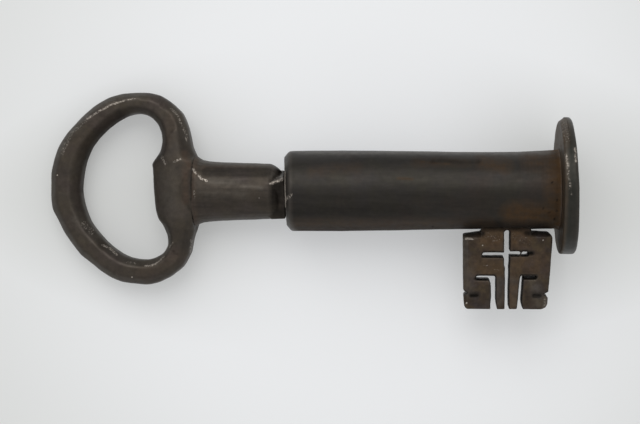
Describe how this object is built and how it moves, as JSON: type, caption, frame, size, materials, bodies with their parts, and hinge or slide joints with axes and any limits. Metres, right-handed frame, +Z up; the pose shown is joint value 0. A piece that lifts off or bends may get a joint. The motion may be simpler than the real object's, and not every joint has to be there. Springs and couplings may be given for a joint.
{
  "type": "pipe key",
  "caption": "Forged iron pipe key: bent loop bow, round neck, thick tubular barrel with a flange at its end, and a flat bit sawn for the lock's wards.",
  "frame": {"origin": "on the table, under the middle of the key's box as it lies at rest", "axes": "+X from the bow to the end disc, -Y the way the bit points, +Z up from the table"},
  "size_m": [0.1478, 0.0606, 0.0377],
  "materials": {
    "bow_iron": "hammered wrought iron with a dark patina, its ridges worn bright by handling",
    "neck_iron": "hammered and filed wrought iron with a dark patina",
    "plug_iron": "brazed wrought iron, dull and unworn",
    "barrel_iron": "rolled and filed wrought iron with a smooth dark patina and brown rust at the flange",
    "disc_iron": "turned wrought iron with a dark grey patina and a worn rim",
    "bit_iron": "filed wrought iron with brown rust in the sawn cuts"
  },
  "bodies": {
    "root": {"bow": "bow_iron", "neck": "neck_iron", "breech_plug": "plug_iron", "barrel": "barrel_iron", "end_disc": "disc_iron", "bit": "bit_iron"}
  },
  "joints": []
}
